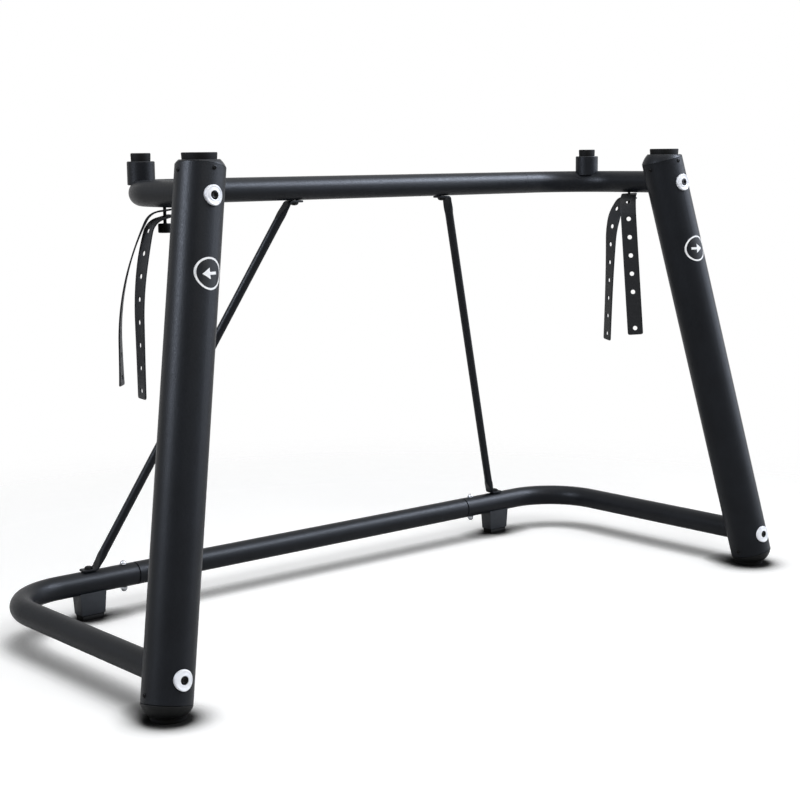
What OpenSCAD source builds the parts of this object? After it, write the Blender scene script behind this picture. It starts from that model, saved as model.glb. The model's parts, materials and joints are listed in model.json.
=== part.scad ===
// Stage keyboard stand: two leaning columns tied by a low and a high U of bent tube,
// with two braces at the back, four resting pads and rubber cable straps.

/* [Columns] */
// Distance between the column axes at floor level
foot_spread = 1062; // [960:2:1240]
// Distance between the column axes at support height
head_spread = 805; // [760:1:1000]
// How far each column leans back between the floor and support height
lean_back = 90; // [50:1:110]
// Height of the four resting faces above the floor
support_h = 631.5; // [560:0.5:760]
// Outer diameter of a column
column_d = 60; // [50:1:70]
// Wall of a column
column_wall = 2; // [1.5:0.1:3]

/* [Column caps and pads] */
// Least height of a head cap between its column and its pad
head_rim = 1.4; // [1:0.1:5]
// Least height of a foot cap between its column and its pad
foot_rim = 5.2; // [3:0.1:10]
// Diameter of the level face of a head cap
head_flat_d = 48; // [44:1:54]
// Diameter of the level face of a foot cap
foot_flat_d = 46; // [43:1:54]
// Diameter of the rubber pads on the caps
pad_d = 42; // [30:1:43]
// Height of a head pad
head_pad_h = 8; // [5:0.5:14]
// Height of a foot pad
foot_pad_h = 7; // [4:0.5:12]
// Length of a cap's plug inside its column
cap_plug_len = 24; // [20:1:28]
// Wall of a cap's plug
cap_plug_wall = 4; // [3:0.5:6]
// Shift of the pads against the column ends, along the lean
pad_shift = 3; // [0:0.5:4]
// Distance from a column's end to its side screws
cap_screw_inset = 9; // [7:0.5:12]
// Distance from a column's upper end to its front screw
front_screw_inset = 5; // [4:0.5:8]

/* [Tubes] */
// Outer diameter of the bent tubes
tube_d = 32; // [27:1:34]
// Wall of the bent tubes
tube_wall = 2; // [1.5:0.1:2.5]
// Radius of the bends at the tube's centre line
bend_r = 90; // [70:1:100]
// Height of the base tube's axis above the floor
base_tube_z = 51; // [48:1:80]
// Drop from the resting faces to the top tube's axis
top_tube_drop = 48.5; // [46:0.5:60]
// Distance from a column's foot to the base tube's rear run
base_reach = 423; // [360:1:520]
// Distance from a column's foot to the top tube's rear run
top_reach = 272; // [260:1:340]
// Straight length of a base corner tube between its bend and its seam
base_straight = 118; // [110:1:160]
// Straight length of a top corner tube between its bend and its seam
top_straight = 26; // [20:1:60]
// Length of the base rear tube's plugs
base_plug_len = 40; // [30:1:44]

/* [Pegs] */
// Diameter of a peg's sleeve
peg_d = 34; // [28:1:38]
// Height of the sleeve's lower edge above the top tube's axis
peg_base = 9.5; // [6:0.5:12]
// Diameter of the rubber tip
tip_d = 24.5; // [18:0.5:26]
// Height of the rubber tip above its sleeve
tip_h = 10; // [7:0.5:14]
// Place of the peg round the bend, measured from the rear run
peg_angle = 57; // [30:1:66]

/* [Braces] */
// Distance of each brace's upper bolt from the middle
brace_top_x = 134; // [80:1:200]
// Diameter of a brace rod
rod_d = 12; // [10:0.5:16]
// Width of a brace's flattened tab
tab_w = 16; // [14:0.5:24]
// Thickness of a brace's flattened tab
tab_t = 3; // [2.5:0.5:6]
// Length of a tab from its bolt to its bend
tab_reach = 10; // [9:0.5:20]
// Length over which a rod is pressed flat
pinch_len = 28; // [16:1:40]

/* [Rear feet] */
// Distance from the base bend to the middle of a rear foot
foot_inset = 46.5; // [30:0.5:50]
// Width of a rear foot at its top
foot_top_w = 40; // [34:1:54]
// Depth of a rear foot at its top
foot_top_l = 23; // [16:1:24]
// Taper of a rear foot, taken off its width and half as much off its depth
foot_taper = 4; // [0:0.5:8]
// Height of a rear foot's rubber pad
rear_pad_h = 8; // [6:0.5:13]
// Step from a rear foot's edge in to its pad
rear_pad_step = 1; // [0.5:0.25:4]

/* [Fasteners] */
// Diameter of the column and brace bolts
bolt_d = 6; // [5:0.5:8]
// Diameter of the white washers under the column bolts
washer_d = 24; // [20:1:30]
// Thickness of the white washers
washer_t = 3.2; // [2.5:0.1:5]
// Depth to which a column bolt's head sits in its washer
bolt_recess = 2; // [0.5:0.1:2.2]
// Height of a column bolt's head
bolt_head_h = 2; // [1.5:0.5:6]
// Length of the threaded inserts in the arm ends
insert_len = 26; // [20:1:34]
// Diameter of the base joint bolts
joint_bolt_d = 5; // [4:0.5:6]
// Distance from a base seam to its joint bolt
joint_inset = 17; // [12:0.5:22]
// Diameter of the small screws in the caps and pegs
screw_d = 3.5; // [3:0.25:5]

/* [Straps] */
// Width of a rubber strap
strap_w = 23; // [16:0.5:26]
// Thickness of a rubber strap
strap_t = 2; // [1.5:0.1:2.5]
// Spacing of a strap's holes
hole_pitch = 27.4; // [22:0.2:32]
// Number of holes in a strap
hole_count = 9; // [6:1:10]
// Diameter of a strap's holes
hole_d = 6.5; // [6:0.1:8]
// Distance from a strap's last hole to its end
strap_end = 10; // [8:0.5:12]
// Distance from the top bend forward to a strap stud
stud_inset = 25; // [14:0.5:30]
// Diameter of a stud's neck
neck_d = 4; // [3:0.1:4.4]
// Length of a stud's neck below the tube
neck_len = 19; // [18.5:0.5:30]
// Diameter of a stud's knob
knob_d = 17; // [14:0.5:19]
// Height of a stud's knob
knob_h = 11; // [6:0.5:16]

/* [Hidden] */
$fn = 64;

// Clearances
seat_gap = 0.1;
plug_gap = 0.15;
hole_gap = 0.1;
seam_gap = 0.6;
strap_gap = 0.3;

// Small fixed features
edge = 1;
skin = 0.05;
lip_h = 0.6;
head_round = (column_d - head_flat_d) / 4;
hex_head_w = 10 / 6 * bolt_d;
hex_head_h = 4 / 6 * bolt_d;
nut_h = 5 / 6 * bolt_d;
screw_head_d = 1.5 * screw_d;
bolt_head_d = 1.65 * bolt_d;
screw_head_h = 1.6;
joint_head_d = 1.8 * joint_bolt_d;

// Column axis, for the right side
foot_x = foot_spread / 2;
lean_in = (foot_spread - head_spread) / 2;
axis_len = norm([lean_in, lean_back, support_h]);
lean = acos(support_h / axis_len);
lean_turn = atan2(lean_back, -lean_in);
level_drop = column_d / 2 * sin(lean);
column_low = (foot_pad_h + foot_rim + level_drop) / cos(lean);
column_high = (support_h - head_pad_h - head_rim - level_drop) / cos(lean);
column_bore = column_d - 2 * column_wall;
// Stretch of a level line along Y inside a leaning column
front_stretch = 1 / sqrt(1 - pow(lean_back / axis_len, 2));
washer_face = column_d / 2 + seat_gap + washer_t;
bolt_seat = washer_face - bolt_recess + seat_gap;
// Lean seen from the side and from the front
lean_pitch = atan2(lean_back, norm([lean_in, support_h]));
lean_roll = atan2(lean_in, support_h);

// Depth, with the middle of the stand at y = 0
top_tube_z = support_h - top_tube_drop;
head_face = bolt_seat * front_stretch + bolt_head_h;
washer_low = washer_face * front_stretch + washer_d / 2 * lean_back / support_h;
front_over = max(head_face, washer_low) - lean_back * base_tube_z / support_h;
column_y = -(base_reach + tube_d / 2 - front_over) / 2;
base_y = column_y + base_reach;
top_y = column_y + top_reach;

// Pads stand level, shifted so that each cap slopes more on the side its column leans away from
lean_way = [-lean_in, lean_back, 0] / norm([lean_in, lean_back]);
foot_pad_at = level_at(column_low, foot_pad_h) + pad_shift * lean_way;
head_pad_at = level_at(column_high, support_h - head_pad_h) - pad_shift * lean_way;

// Tubes, for the right side
tube_bore = tube_d - 2 * tube_wall;
plug_d = tube_bore - 2 * plug_gap;
base_arm_x = foot_x - lean_in * base_tube_z / support_h;
top_arm_x = foot_x - lean_in * top_tube_z / support_h;
base_seam_x = base_arm_x - bend_r - base_straight;
top_seam_x = top_arm_x - bend_r - top_straight;
joint_x = base_seam_x + joint_inset;
rear_foot_x = base_arm_x - bend_r - foot_inset;
peg_at = [top_arm_x - bend_r * (1 - sin(peg_angle)), top_y - bend_r * (1 - cos(peg_angle))];
sleeve_top = support_h - tip_h;
stem_d = tip_d / 2;
stem_h = 10;
screw_seat = sleeve_top - stem_h - screw_head_h - edge;
stud_y = top_y - bend_r - stud_inset;
tube_under = top_tube_z - tube_d / 2;

// Brace ends, for the right side
top_tab_z = tube_under - seat_gap - tab_t / 2;
foot_tab_z = base_tube_z + tube_d / 2 + seat_gap + tab_t / 2;
tab_end = 0.65 * tab_w;
brace_top = [brace_top_x + tab_reach, top_y, top_tab_z];
brace_foot = [rear_foot_x - tab_reach, base_y, foot_tab_z];
brace_len = norm(brace_foot - brace_top);
// A nut inside the top tube rests where its corners meet the bore
nut_corner = hex_head_w / cos(30) / 2;
brace_nut_z = top_tube_z - sqrt(pow(tube_bore / 2, 2) - pow(nut_corner, 2)) + seat_gap;

// Rear feet
saddle_r = tube_d / 2 + seat_gap;
rear_foot_top = base_tube_z - sqrt(pow(saddle_r, 2) - pow(foot_top_l / 2, 2)) - edge;
rear_foot_low = [foot_top_w - foot_taper, foot_top_l - foot_taper / 2];

// Straps: how each one hangs from its stud, as its turn about the stud, the tilt at which it
// leaves the stud, the radius of its first bend, the angle that bend ends at, the radius of the
// long curve after it, how far it sits below the place nearest the tube, and its sway to one side
strap_lead = 6;
bend_steps = 10;
left_front_hang = [172.7, 14, 22, 74.5, 400, 7, 0];
left_back_hang = [142, 8, 21, 62.5, 320, 0, 0];
right_front_hang = [217.4, 8, 33, 84, 60, 0, 4];
right_back_hang = [156.6, 4, 19, 86, 2400, 5.5, -4];
missing_hole = 7;

black_coat = "#2a2c30";
black_rubber = "#1d1d1e";
black_plastic = "#242628";
white_nylon = "#e8eaef";
bright_chrome = "#c9ccd1";
dark_steel = "#17181a";

function axis_at(z) = [foot_x - lean_in * z / support_h, column_y + lean_back * z / support_h, z];

// The point at height z that is level with the axis h along it
function level_at(h, z) = [axis_at(h * cos(lean))[0], axis_at(h * cos(lean))[1], z];

// Turns a right-hand piece into the left-hand one when s is negative
module side(s) {
    if (s < 0)
        mirror([1, 0, 0]) children();
    else
        children();
}

module both_sides() {
    for (s = [-1, 1])
        side(s) children();
}

// Places a shape on the right column's axis, h along it, with x kept near the stand's x
module on_axis(h) {
    translate([foot_x, column_y, 0])
        rotate([0, lean, lean_turn])
            rotate([0, 0, -lean_turn])
                translate([0, 0, h]) children();
}

// Turns a shape's z to point backwards
module pointing_back(p) {
    translate(p) rotate([-90, 0, 0]) children();
}

module each_bolt_height() {
    for (z = [base_tube_z, top_tube_z])
        pointing_back(axis_at(z)) children();
}

module column_cutter(gap) {
    on_axis(-column_d) cylinder(d = column_d + 2 * gap, h = axis_len + 2 * column_d);
}

// Screws round both ends of the right column, z pointing out: two at the sides of each end and
// one in front at the top
module each_cap_screw() {
    for (h = [column_low + cap_screw_inset, column_high - cap_screw_inset])
        for (a = [0, 180])
            on_axis(h) rotate([0, 0, a]) rotate([0, 90, 0]) children();
    on_axis(column_high - front_screw_inset) rotate([0, 0, -90]) rotate([0, 90, 0]) children();
}

// A disc with both rims chamfered
module edged_disc(d, h, c) {
    rotate_extrude()
        polygon([[0, 0], [d / 2 - c, 0], [d / 2, c], [d / 2, h - c], [d / 2 - c, h], [0, h]]);
}

// A low dome standing on z = 0
module dome(d, h) {
    ball_r = (d * d / 4 + h * h) / (2 * h);
    rotate_extrude()
        intersection() {
            translate([0, h - ball_r]) circle(r = ball_r);
            square([d, h]);
        }
}

module column() {
    color(black_coat)
        difference() {
            on_axis(column_low) cylinder(d = column_d, h = column_high - column_low);
            on_axis(0) cylinder(d = column_bore, h = axis_len);
            each_bolt_height() cylinder(d = bolt_d + 2 * hole_gap, h = 2 * column_d, center = true);
            each_cap_screw() cylinder(d = screw_d + 2 * hole_gap, h = column_d);
        }
}

module cap_plug(h) {
    on_axis(h)
        difference() {
            cylinder(d = column_bore - 2 * plug_gap, h = cap_plug_len);
            translate([0, 0, -edge])
                cylinder(d = column_bore - 2 * plug_gap - 2 * cap_plug_wall, h = cap_plug_len + 2 * edge);
        }
}

module head_cap() {
    color(black_plastic)
        difference() {
            union() {
                intersection() {
                    hull() {
                        on_axis(column_high + seat_gap) cylinder(d = column_d, h = lip_h);
                        translate(head_pad_at - [0, 0, head_round + lip_h])
                            cylinder(d = head_flat_d + 2 * head_round, h = lip_h);
                        translate(head_pad_at - [0, 0, lip_h]) cylinder(d = head_flat_d, h = lip_h);
                    }
                    on_axis(column_high + seat_gap) cylinder(d = 2 * column_d, h = column_d);
                }
                cap_plug(column_high + seat_gap + lip_h - cap_plug_len);
            }
            each_cap_screw() cylinder(d = screw_d + 2 * hole_gap, h = column_d);
        }
}

module foot_cap() {
    color(black_plastic)
        difference() {
            union() {
                hull() {
                    on_axis(column_low - seam_gap - lip_h) cylinder(d = column_d, h = lip_h);
                    translate(foot_pad_at) cylinder(d = foot_flat_d, h = lip_h);
                }
                cap_plug(column_low - seam_gap - lip_h);
            }
            each_cap_screw() cylinder(d = screw_d + 2 * hole_gap, h = column_d);
        }
}

module head_pad() {
    color(black_rubber) translate(head_pad_at) edged_disc(pad_d, head_pad_h, edge / 2);
}

module foot_pad() {
    color(black_rubber) translate([foot_pad_at[0], foot_pad_at[1], 0]) edged_disc(pad_d, foot_pad_h, edge);
}

module cap_screws() {
    shank = column_wall + plug_gap + cap_plug_wall;
    color(dark_steel)
        both_sides()
            each_cap_screw()
                translate([0, 0, column_d / 2 - shank]) {
                    cylinder(d = screw_d, h = shank + seat_gap);
                    translate([0, 0, shank + seat_gap]) dome(screw_head_d, screw_head_h);
                }
}

module column_washers() {
    color(white_nylon)
        both_sides()
            difference() {
                intersection() {
                    each_bolt_height() translate([0, 0, -2 * column_d]) cylinder(d = washer_d, h = 2 * column_d);
                    column_cutter(washer_face - column_d / 2);
                }
                column_cutter(seat_gap);
                each_bolt_height() cylinder(d = bolt_d + 2 * hole_gap, h = 4 * column_d, center = true);
                difference() {
                    each_bolt_height()
                        translate([0, 0, -2 * column_d]) cylinder(d = bolt_head_d + 4 * hole_gap, h = 2 * column_d);
                    column_cutter(bolt_seat - seat_gap - column_d / 2);
                }
            }
}

module column_bolts() {
    shank_back = column_d / 2 * front_stretch + insert_len - edge;
    color(dark_steel)
        both_sides()
            each_bolt_height() {
                translate([0, 0, -head_face + bolt_head_h / 2])
                    cylinder(d = bolt_d, h = head_face - bolt_head_h / 2 + shank_back);
                bolt_head();
            }
}

// Socket head cut to sit in the curved washer
module bolt_head() {
    socket_w = 0.85 * bolt_d;
    difference() {
        translate([0, 0, -head_face]) edged_disc(bolt_head_d, bolt_head_h + edge, edge / 2);
        translate([0, 0, -head_face - edge]) cylinder(d = socket_w, h = bolt_head_h / 2 + edge, $fn = 6);
        rotate([-lean_pitch, 0, 0])
            rotate([0, lean_roll, 0])
                rotate([90, 0, 0]) cylinder(r = bolt_seat, h = 2 * column_d, center = true);
    }
}

module arm_inserts() {
    color(dark_steel)
        both_sides()
            difference() {
                each_bolt_height() cylinder(d = plug_d, h = column_d / 2 * front_stretch + insert_len);
                column_cutter(seat_gap);
                each_bolt_height() cylinder(d = bolt_d + 2 * hole_gap, h = 2 * column_d);
            }
}

// The path of a right-hand corner: arm from the column, bend, and rear run to the seam
module corner_path(arm, rear_y, d, straight) {
    bend_y = rear_y - bend_r;
    translate([arm[0], bend_y, arm[2]]) rotate([90, 0, 0]) cylinder(d = d, h = bend_y - arm[1]);
    translate([arm[0] - bend_r, bend_y, arm[2]])
        rotate_extrude(angle = 90) translate([bend_r, 0]) circle(d = d);
    translate([arm[0] - bend_r, rear_y, arm[2]]) rotate([0, -90, 0]) cylinder(d = d, h = straight);
}

module corner_tube(arm, rear_y, straight) {
    difference() {
        corner_path(arm, rear_y, tube_d, straight);
        corner_path(arm, rear_y, tube_bore, straight + edge);
        column_cutter(seat_gap);
    }
}

// A straight rear tube, turned down at both ends to plug into the corners
module rear_tube(rear_y, z, seam_x, plug_len) {
    half = seam_x - seam_gap / 2;
    neck_x = half - tube_wall;
    translate([0, rear_y, z])
        rotate([0, 90, 0])
            difference() {
                union() {
                    cylinder(d = tube_d, h = 2 * half, center = true);
                    cylinder(d = plug_d, h = 2 * (seam_x + plug_len), center = true);
                }
                cylinder(d = tube_bore, h = 2 * neck_x, center = true);
                cylinder(d = plug_d - 2 * tube_wall, h = 2 * (seam_x + plug_len + edge), center = true);
            }
}

// A vertical drill through the right side at x, y
module drill(x, y, z, d, h) {
    translate([x, y, z]) cylinder(d = d, h = h, center = true);
}

module base_corner_tube() {
    color(black_coat)
        difference() {
            corner_tube(axis_at(base_tube_z), base_y, base_straight);
            drill(joint_x, base_y, base_tube_z, joint_bolt_d + 2 * hole_gap, 2 * tube_d);
            drill(rear_foot_x, base_y, base_tube_z, bolt_d + 2 * hole_gap, 2 * tube_d);
        }
}

module base_rear_tube() {
    color(black_coat)
        difference() {
            rear_tube(base_y, base_tube_z, base_seam_x, base_plug_len);
            both_sides() drill(joint_x, base_y, base_tube_z, joint_bolt_d + 2 * hole_gap, 2 * tube_d);
        }
}

module base_joint_bolts() {
    reach = tube_d / 2 + seat_gap;
    color(bright_chrome)
        both_sides()
            translate([joint_x, base_y, base_tube_z]) {
                translate([0, 0, -reach]) cylinder(d = joint_bolt_d, h = 2 * reach);
                translate([0, 0, reach]) dome(joint_head_d, joint_head_d / 2);
            }
}

module base_joint_dome_nuts() {
    rim = joint_head_d / 4;
    color(bright_chrome)
        both_sides()
            translate([joint_x, base_y, base_tube_z - tube_d / 2 - 2 * seat_gap])
                rotate([180, 0, 0]) {
                    cylinder(d = joint_head_d, h = rim);
                    translate([0, 0, rim]) dome(joint_head_d, joint_head_d / 2);
                }
}

module top_corner_tube() {
    color(black_coat)
        difference() {
            corner_tube(axis_at(top_tube_z), top_y, top_straight);
            drill(top_arm_x, stud_y, tube_under, neck_d + 2 * hole_gap, tube_d / 2);
            drill(peg_at[0], peg_at[1], top_tube_z + tube_d / 2, screw_d + 2 * hole_gap, tube_d / 2);
        }
}

module top_rear_tube() {
    color(black_coat)
        difference() {
            rear_tube(top_y, top_tube_z, top_seam_x, top_straight - seam_gap);
            both_sides() drill(brace_top_x, top_y, tube_under, bolt_d + 2 * hole_gap, tube_d / 2);
        }
}

module peg_sleeve() {
    color(black_coat)
        difference() {
            translate([peg_at[0], peg_at[1], top_tube_z + peg_base])
                edged_disc(peg_d, sleeve_top - top_tube_z - peg_base, edge);
            corner_path(axis_at(top_tube_z), top_y, tube_d + 2 * seat_gap, top_straight);
            translate([peg_at[0], peg_at[1], screw_seat]) cylinder(d = stem_d + 2 * hole_gap, h = tube_d);
            drill(peg_at[0], peg_at[1], screw_seat, screw_d + 2 * hole_gap, tube_d);
        }
}

module peg_tip() {
    color(black_rubber)
        translate([peg_at[0], peg_at[1], sleeve_top]) {
            edged_disc(tip_d, tip_h, edge);
            translate([0, 0, -stem_h]) cylinder(d = stem_d, h = stem_h + edge);
        }
}

module peg_screws() {
    shank_low = top_tube_z + tube_d / 2 - 2 * tube_wall;
    color(dark_steel)
        both_sides()
            translate([peg_at[0], peg_at[1], 0]) {
                translate([0, 0, shank_low]) cylinder(d = screw_d, h = screw_seat - shank_low);
                translate([0, 0, screw_seat]) dome(screw_head_d, screw_head_h);
            }
}

// Flat tab lying along the tube, bolt at its origin, reaching back to the rod in +x
module brace_tab() {
    linear_extrude(tab_t, center = true)
        difference() {
            union() {
                translate([-tab_end + tab_w / 2, -tab_w / 2]) square([tab_end - tab_w / 2 + tab_reach, tab_w]);
                translate([-tab_end + tab_w / 2, 0]) circle(d = tab_w);
            }
            circle(d = bolt_d + 2 * hole_gap);
        }
}

// A round slice of the rod, s along it from its upper bend
module rod_slice(s, d, h) {
    way = (brace_foot - brace_top) / brace_len;
    translate(brace_top + s * way)
        rotate([0, acos(way[2]), atan2(way[1], way[0])]) cylinder(d = d, h = h);
}

// The end of a tab that the rod grows out of, kept just inside the tab
module tab_root(p) {
    translate(p - [edge / 2, tab_w / 2 - skin, tab_t / 2 - skin])
        cube([edge, tab_w - 2 * skin, tab_t - 2 * skin]);
}

module brace() {
    collar_d = rod_d + 4 * skin;
    color(black_coat) {
        translate([brace_top_x, top_y, top_tab_z]) brace_tab();
        translate([rear_foot_x, base_y, foot_tab_z]) rotate([0, 0, 180]) brace_tab();
        rod_slice(pinch_len + edge, rod_d, brace_len - 2 * (pinch_len + edge));
        hull() {
            tab_root(brace_top - [edge, 0, 0]);
            rod_slice(pinch_len, collar_d, 2 * edge, $fn = 32);
        }
        hull() {
            tab_root(brace_foot + [edge, 0, 0]);
            rod_slice(brace_len - pinch_len - 2 * edge, collar_d, 2 * edge, $fn = 32);
        }
    }
}

module brace_top_bolts() {
    head_top = top_tab_z - tab_t / 2 - seat_gap;
    color(dark_steel)
        both_sides()
            translate([brace_top_x, top_y, head_top]) {
                translate([0, 0, -hex_head_h]) cylinder(d = 2 * nut_corner, h = hex_head_h, $fn = 6);
                cylinder(d = bolt_d, h = brace_nut_z + nut_h - head_top);
            }
}

module hex_nut(h) {
    difference() {
        cylinder(d = 2 * nut_corner, h = h, $fn = 6);
        translate([0, 0, -edge]) cylinder(d = bolt_d + 2 * hole_gap, h = h + 2 * edge);
    }
}

module brace_top_nuts() {
    color(dark_steel)
        both_sides()
            translate([brace_top_x, top_y, brace_nut_z]) hex_nut(nut_h);
}

module brace_foot_bolts() {
    head_low = foot_tab_z + tab_t / 2 + seat_gap;
    shank_low = rear_pad_h + edge;
    color(dark_steel)
        both_sides()
            translate([rear_foot_x, base_y, 0]) {
                translate([0, 0, head_low]) cylinder(d = 2 * nut_corner, h = hex_head_h, $fn = 6);
                translate([0, 0, shank_low]) cylinder(d = bolt_d, h = head_low - shank_low);
            }
}

module brace_foot_nuts() {
    color(dark_steel)
        both_sides()
            translate([rear_foot_x, base_y, rear_pad_h + edge]) hex_nut(nut_h);
}

module level_plate(w, l, z) {
    translate([rear_foot_x, base_y, z]) translate([-w / 2, -l / 2, 0]) cube([w, l, lip_h]);
}

module rear_foot() {
    pocket_h = edge + nut_h + seat_gap;
    color(black_plastic)
        difference() {
            hull() {
                level_plate(rear_foot_low[0], rear_foot_low[1], rear_pad_h);
                level_plate(foot_top_w, foot_top_l, rear_foot_top - lip_h);
            }
            translate([0, base_y, base_tube_z]) rotate([0, 90, 0]) cylinder(r = saddle_r, h = foot_spread);
            drill(rear_foot_x, base_y, base_tube_z / 2, bolt_d + 2 * hole_gap, base_tube_z);
            translate([rear_foot_x, base_y, rear_pad_h - edge])
                cylinder(d = 2 * nut_corner + 2 * hole_gap, h = pocket_h + edge, $fn = 6);
        }
}

module rear_foot_pad() {
    top = [for (size = rear_foot_low) size - 2 * rear_pad_step];
    low = [for (size = top) size - 2 * edge];
    color(black_rubber)
        hull() {
            level_plate(low[0], low[1], 0);
            level_plate(top[0], top[1], rear_pad_h - lip_h);
        }
}

module strap_stud() {
    neck_top = tube_under + 2 * tube_wall;
    color(dark_steel)
        translate([top_arm_x, stud_y, tube_under - neck_len]) {
            cylinder(d = neck_d, h = neck_top - tube_under + neck_len);
            translate([0, 0, -knob_h]) edged_disc(knob_d, knob_h, edge);
        }
}

// Lengths of a strap's first bend and of the long curve that ends straight down
function bend_len(hang) = hang[2] * (hang[3] - hang[1]) * PI / 180;
function curve_len(hang) = hang[4] * (90 - hang[3]) * PI / 180;

// How far below level the strap points, s along it from its first hole
function strap_turn(hang, s) = let(past = max(s - strap_lead, 0))
    past < bend_len(hang) ? hang[1] + past / hang[2] * 180 / PI
        : min(hang[3] + (past - bend_len(hang)) / hang[4] * 180 / PI, 90);

// Middle of the strap's thickness, s along it, as [out, up]
function strap_point(hang, s) = let(
    lead = min(s, strap_lead),
    tail = max(s - strap_lead - bend_len(hang) - curve_len(hang), 0),
    first = min(strap_turn(hang, s), hang[3]),
    last = max(strap_turn(hang, s), hang[3]))
    lead * [cos(hang[1]), -sin(hang[1])]
        + hang[2] * [sin(first) - sin(hang[1]), cos(first) - cos(hang[1])]
        + hang[4] * [sin(last) - sin(hang[3]), cos(last) - cos(hang[3])]
        - [0, tail];

// A point on one face of the strap
function strap_face(hang, s, face) =
    strap_point(hang, s) + face * strap_t / 2 * [sin(strap_turn(hang, s)), cos(strap_turn(hang, s))];

// A strap in its own frame: its first hole is at the origin and it leaves along x
module strap(hang, missing) {
    far_end = (hole_count - 1) * hole_pitch + strap_end;
    bend = [for (i = [0:bend_steps]) strap_lead + i / bend_steps * bend_len(hang)];
    curve = [for (i = [1:bend_steps]) bend[bend_steps] + i / bend_steps * curve_len(hang)];
    stops = concat([-strap_end], bend, curve, [far_end]);
    upper = [for (i = [0:len(stops) - 1]) strap_face(hang, stops[i], 1)];
    lower = [for (i = [len(stops) - 1:-1:0]) strap_face(hang, stops[i], -1)];
    color(black_rubber)
        difference() {
            rotate([90, 0, 0]) linear_extrude(strap_w, center = true) polygon(concat(upper, lower));
            for (i = [0:hole_count - 1])
                if (i != missing)
                    on_strap(hang, i * hole_pitch) cylinder(d = hole_d, h = 4 * strap_t, center = true);
            on_strap(hang, -strap_end) end_corners();
            on_strap(hang, far_end) rotate([0, 0, 180]) end_corners();
        }
}

// Moves a shape s along the strap, keeping z on the strap's face
module on_strap(hang, s) {
    p = strap_point(hang, s);
    translate([p[0], 0, p[1]]) rotate([0, strap_turn(hang, s), 0]) children();
}

// What is cut from the two corners of a strap's end to round them
module end_corners() {
    corner = strap_w / 8;
    arc = [for (a = [262.5:-15:187.5]) corner * [1 + cos(a), 1 + sin(a)]];
    for (y = [0, 1])
        mirror([0, y, 0])
            translate([0, -strap_w / 2, 0])
                linear_extrude(4 * strap_t, center = true)
                    polygon(concat([[-edge, -edge], [corner, -edge]], arc, [[-edge, corner]]));
}

// Places a strap on the stud of side s, clear of the tube and of the strap above it, and pulled
// out until the rim of its first hole all but meets the stud's neck
module hung_strap(s, hang, missing = -1) {
    tilt = hang[1];
    under = strap_end * sin(tilt) + strap_t + strap_gap + hang[5];
    pull = hole_d / 2 * cos(tilt) - strap_t / 2 * sin(tilt) - neck_d / 2 - strap_gap;
    translate([s * top_arm_x, stud_y, tube_under - under])
        rotate([0, 0, hang[0]])
            rotate([hang[6], 0, 0]) translate([pull, 0, 0]) strap(hang, missing);
}

module left_front_strap() {
    hung_strap(-1, left_front_hang);
}

module left_back_strap() {
    hung_strap(-1, left_back_hang);
}

module right_front_strap() {
    hung_strap(1, right_front_hang, missing_hole);
}

module right_back_strap() {
    hung_strap(1, right_back_hang);
}

side(-1) column();  // left_column
side(1) column();  // right_column
side(-1) head_cap();  // left_head_cap
side(1) head_cap();  // right_head_cap
side(-1) foot_cap();  // left_foot_cap
side(1) foot_cap();  // right_foot_cap
side(-1) head_pad();  // left_head_pad
side(1) head_pad();  // right_head_pad
side(-1) foot_pad();  // left_foot_pad
side(1) foot_pad();  // right_foot_pad
cap_screws();
column_washers();
column_bolts();
arm_inserts();
side(-1) base_corner_tube();  // base_left_corner_tube
base_rear_tube();
side(1) base_corner_tube();  // base_right_corner_tube
base_joint_bolts();
base_joint_dome_nuts();
side(-1) top_corner_tube();  // top_left_corner_tube
top_rear_tube();
side(1) top_corner_tube();  // top_right_corner_tube
side(-1) peg_sleeve();  // left_peg_sleeve
side(1) peg_sleeve();  // right_peg_sleeve
side(-1) peg_tip();  // left_peg_tip
side(1) peg_tip();  // right_peg_tip
peg_screws();
side(-1) brace();  // left_brace
side(1) brace();  // right_brace
brace_top_bolts();
brace_top_nuts();
brace_foot_bolts();
brace_foot_nuts();
side(-1) rear_foot();  // left_rear_foot
side(1) rear_foot();  // right_rear_foot
side(-1) rear_foot_pad();  // left_rear_foot_pad
side(1) rear_foot_pad();  // right_rear_foot_pad
side(-1) strap_stud();  // left_strap_stud
side(1) strap_stud();  // right_strap_stud
left_front_strap();
left_back_strap();
right_front_strap();
right_back_strap();
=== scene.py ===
import json
import math

import bmesh
import bpy
from mathutils import Matrix, Vector


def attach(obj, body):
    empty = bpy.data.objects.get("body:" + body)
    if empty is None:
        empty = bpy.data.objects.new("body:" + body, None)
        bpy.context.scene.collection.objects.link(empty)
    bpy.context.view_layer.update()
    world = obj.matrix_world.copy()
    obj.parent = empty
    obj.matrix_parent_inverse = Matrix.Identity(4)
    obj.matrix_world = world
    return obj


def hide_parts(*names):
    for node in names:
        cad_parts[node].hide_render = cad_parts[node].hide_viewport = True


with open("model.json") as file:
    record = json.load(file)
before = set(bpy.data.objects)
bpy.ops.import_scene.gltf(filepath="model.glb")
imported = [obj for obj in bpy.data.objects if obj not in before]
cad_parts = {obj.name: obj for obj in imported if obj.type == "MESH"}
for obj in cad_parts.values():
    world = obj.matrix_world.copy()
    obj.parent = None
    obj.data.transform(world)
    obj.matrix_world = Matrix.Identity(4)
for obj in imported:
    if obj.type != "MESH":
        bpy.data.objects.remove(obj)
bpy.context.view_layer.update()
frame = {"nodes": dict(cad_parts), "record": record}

scene = bpy.context.scene
scene.view_settings.view_transform = "Standard"
mm = 0.001
sides = {"left": -1, "right": 1}
xAxis, yAxis, zAxis = Vector((1, 0, 0)), Vector((0, 1, 0)), Vector((0, 0, 1))
front = math.radians(-90)  # the azimuth of -y
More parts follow.
